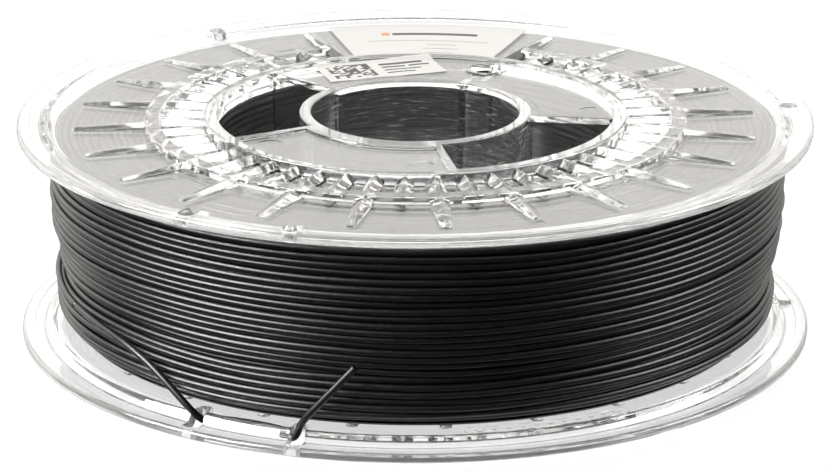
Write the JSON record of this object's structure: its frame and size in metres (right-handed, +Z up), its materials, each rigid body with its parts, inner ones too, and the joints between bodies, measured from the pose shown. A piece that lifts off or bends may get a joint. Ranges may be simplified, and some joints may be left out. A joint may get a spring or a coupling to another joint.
{
  "type": "filament spool",
  "caption": "Clear moulded spool with ribbed flanges, open-windowed core and wide hub bore, fully wound with black filament whose free end is tucked through the rim.",
  "frame": {"origin": "centre of the spool's axis on the plane of the lower collars it lies on", "axes": "+Z up along the spool's axis, +X to the right and +Y away from a viewer who faces the tucked filament end"},
  "size_m": [0.2, 0.2, 0.0571],
  "materials": {
    "clear_plastic": "clear moulded polystyrene, glossy, lightly scratched",
    "filament": "satin black",
    "label_paper": "white coated label, semi-matt"
  },
  "bodies": {
    "root": {"lower_plate": "clear_plastic", "lower_rim": "clear_plastic", "lower_ribs": "clear_plastic", "lower_core_barrel": "clear_plastic", "lower_hub_tube": "clear_plastic", "lower_web": "clear_plastic", "lower_spokes": "clear_plastic", "upper_plate": "clear_plastic", "upper_rim": "clear_plastic", "upper_ribs": "clear_plastic", "upper_core_barrel": "clear_plastic", "upper_hub_tube": "clear_plastic", "upper_web": "clear_plastic", "upper_spokes": "clear_plastic", "wound_filament": "filament", "filament_end": "filament", "sector_label": "label_paper", "batch_sticker": "label_paper"}
  },
  "joints": []
}
